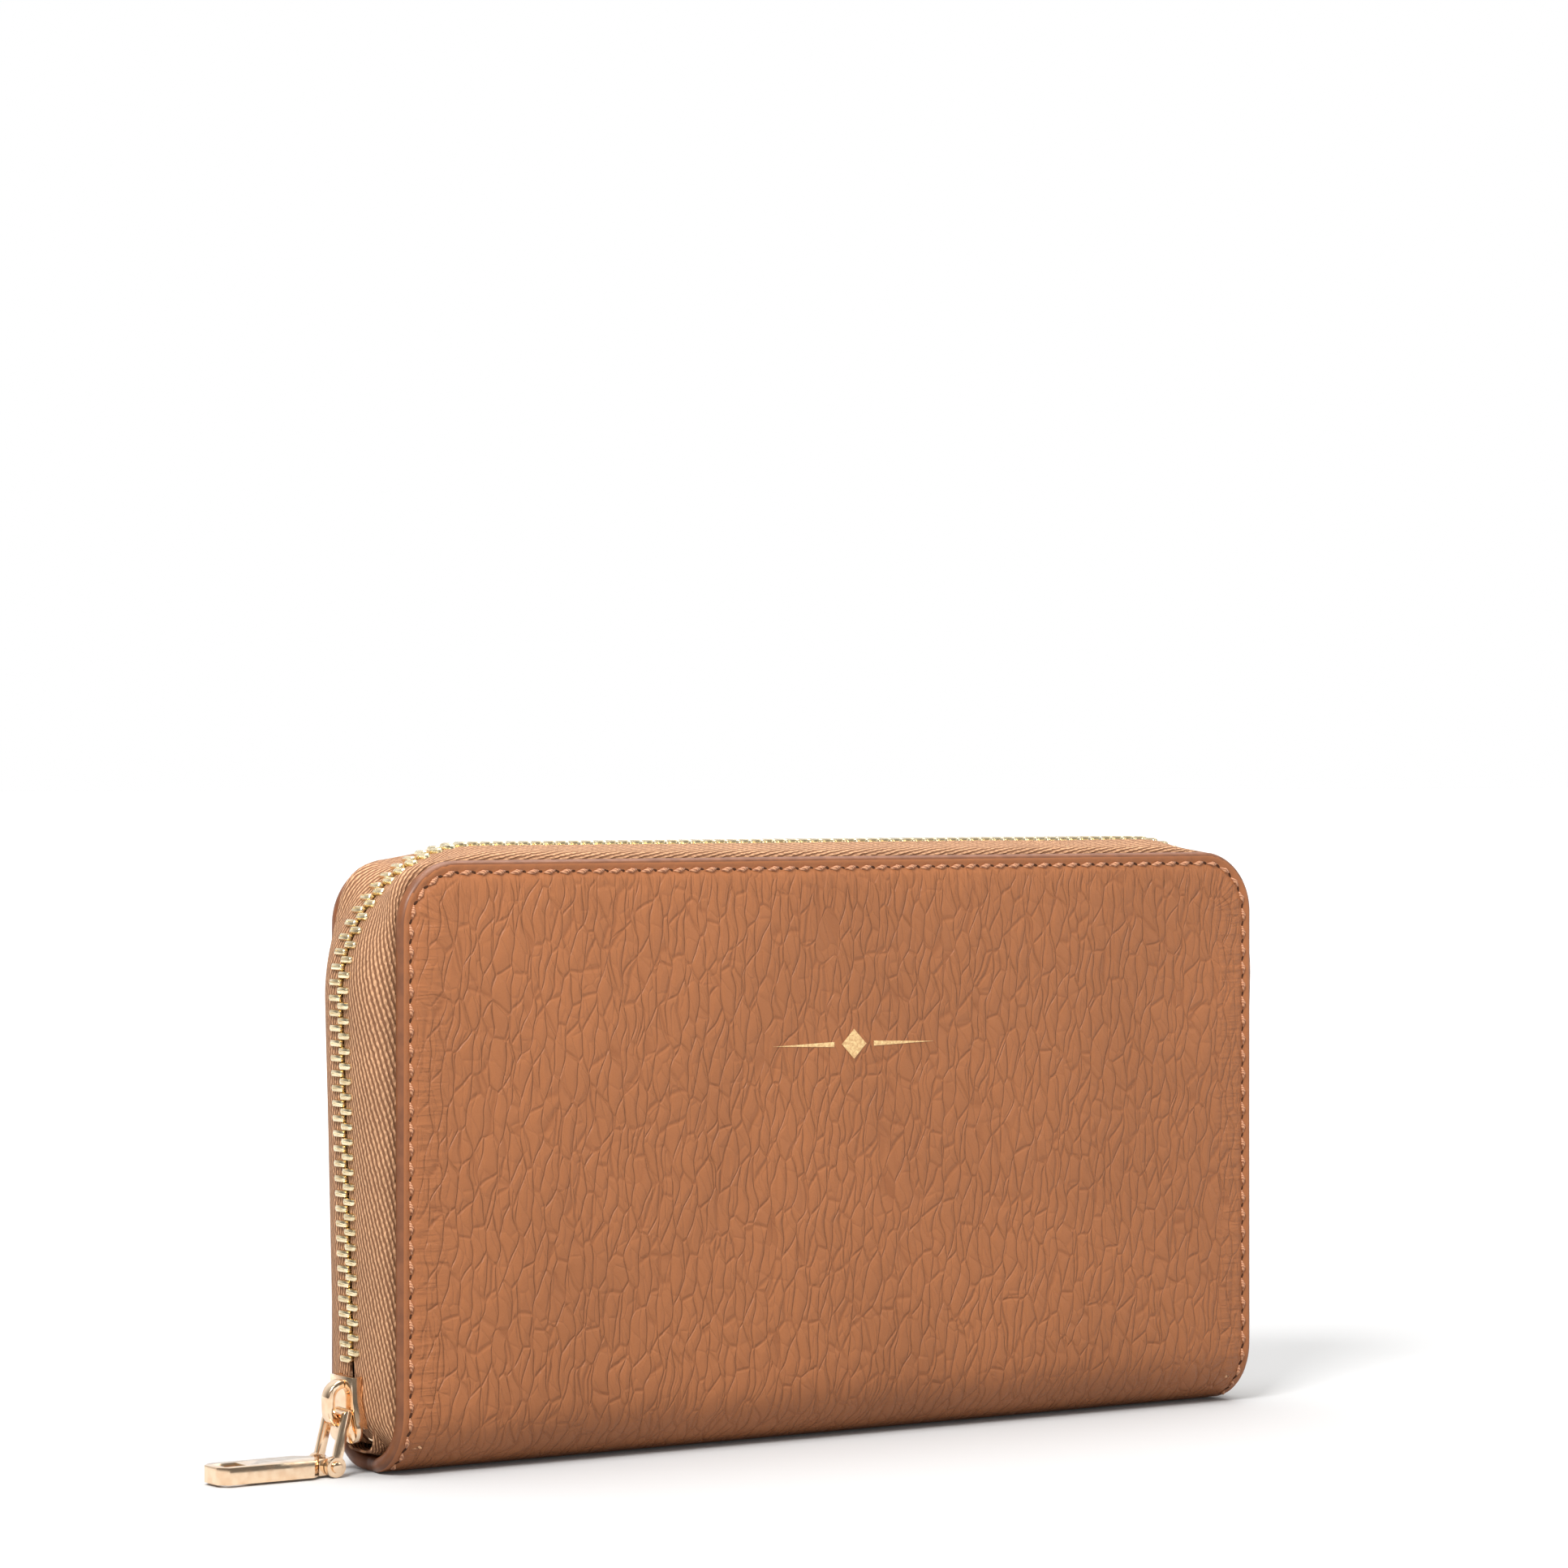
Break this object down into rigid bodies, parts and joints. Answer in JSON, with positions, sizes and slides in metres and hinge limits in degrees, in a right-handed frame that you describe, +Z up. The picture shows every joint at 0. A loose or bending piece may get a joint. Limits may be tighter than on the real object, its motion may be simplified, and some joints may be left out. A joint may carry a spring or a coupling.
{
  "type": "zip around wallet",
  "caption": "Long zip around wallet of pebbled tan leather with a metal zip, card slots, bill compartments and a zipped coin pocket; the halves fold open and the slider and pull move.",
  "frame": {"origin": "on the ground under the middle of the spine's flat underside", "axes": "+X along the wallet's width, the slider and pull at the -X end; -Y is the front cover; +Z up"},
  "size_m": [0.2152, 0.0246, 0.1047],
  "materials": {
    "leather": "pebbled full grain, tan",
    "cardboard": "stiffening board",
    "zip_gold": "pale yellow gold plate, polished",
    "rose_gold": "polished rose gold plate",
    "zip_tape": "herringbone woven tape",
    "thread": "waxed thread",
    "slot_leather": "thin skived leather",
    "lining": "twill lining"
  },
  "bodies": {
    "spine": {"spine_cover": "leather", "spine_lining": "lining", "coin_front_wall": "lining", "coin_back_wall": "lining", "coin_side_strip": "lining", "coin_zip_tape_front": "zip_tape", "coin_zip_tape_back": "zip_tape", "coin_teeth_front": "zip_gold", "coin_teeth_back": "zip_gold", "gusset_front_left": "lining", "gusset_front_right": "lining", "gusset_back_left": "lining", "gusset_back_right": "lining", "left_zip_tail": "zip_tape", "right_zip_tail": "zip_tape", "zip_bottom_stop": "zip_gold"},
    "front_half": {"front_cover": "leather", "front_board": "cardboard", "front_lining": "lining", "front_card_slot_1": "slot_leather", "front_card_slot_2": "slot_leather", "front_card_slot_3": "slot_leather", "front_card_slot_4": "slot_leather", "front_zip_tape": "zip_tape", "front_teeth_left": "zip_gold", "front_teeth_top": "zip_gold", "front_teeth_right": "zip_gold", "front_stitching": "thread"},
    "back_half": {"back_cover": "leather", "back_board": "cardboard", "back_lining": "lining", "back_card_slot_1": "slot_leather", "back_card_slot_2": "slot_leather", "back_card_slot_3": "slot_leather", "back_card_slot_4": "slot_leather", "back_zip_tape": "zip_tape", "back_teeth_left": "zip_gold", "back_teeth_top": "zip_gold", "back_teeth_right": "zip_gold", "back_stitching": "thread"},
    "slider": {"slider_body": "rose_gold", "slider_bridge": "rose_gold"},
    "pull_link": {"pull_link": "rose_gold", "link_pin": "rose_gold"},
    "pull_tab": {"pull_tab": "rose_gold"},
    "coin_slider": {"coin_slider": "zip_gold", "coin_slider_bridge": "zip_gold"},
    "coin_pull": {"coin_pull": "zip_gold"}
  },
  "joints": [
    {"name": "front_fold", "type": "hinge", "parent": "spine", "child": "front_half", "pos_m": [0, -0.012, 0.0091], "axis": [1, 0, 0], "range_deg": [0, 17], "deforming": ["gusset_front_left", "gusset_front_right"]},
    {"name": "back_fold", "type": "hinge", "parent": "spine", "child": "back_half", "pos_m": [0, 0.012, 0.0091], "axis": [1, 0, 0], "range_deg": [-17, 0], "deforming": ["gusset_back_left", "gusset_back_right"]},
    {"name": "slider_run", "type": "slide", "parent": "spine", "child": "slider", "axis": [-0.0349, 0, 0.9994], "range_m": [0, 0.06], "deforming": ["front_teeth_left", "back_teeth_left"]},
    {"name": "link_swing", "type": "hinge", "parent": "slider", "child": "pull_link", "pos_m": [-0.09569, 0, 0.01012], "axis": [0, 1, 0], "range_deg": [0, 70]},
    {"name": "tab_swing", "type": "hinge", "parent": "pull_link", "child": "pull_tab", "pos_m": [-0.09782, 0, 0.0018], "axis": [0, 1, 0], "range_deg": [-75, 20]},
    {"name": "coin_slider_run", "type": "slide", "parent": "spine", "child": "coin_slider", "axis": [1, 0, 0], "range_m": [-0.138, 0], "deforming": ["coin_teeth_front", "coin_teeth_back"]},
    {"name": "coin_pull_swing", "type": "hinge", "parent": "coin_slider", "child": "coin_pull", "pos_m": [0.0688, 0, 0.08805], "axis": [0, 1, 0], "range_deg": [0, 175]}
  ],
  "couplings": [
    {"joint": "back_fold", "follows": "front_fold", "ratio": -1}
  ]
}
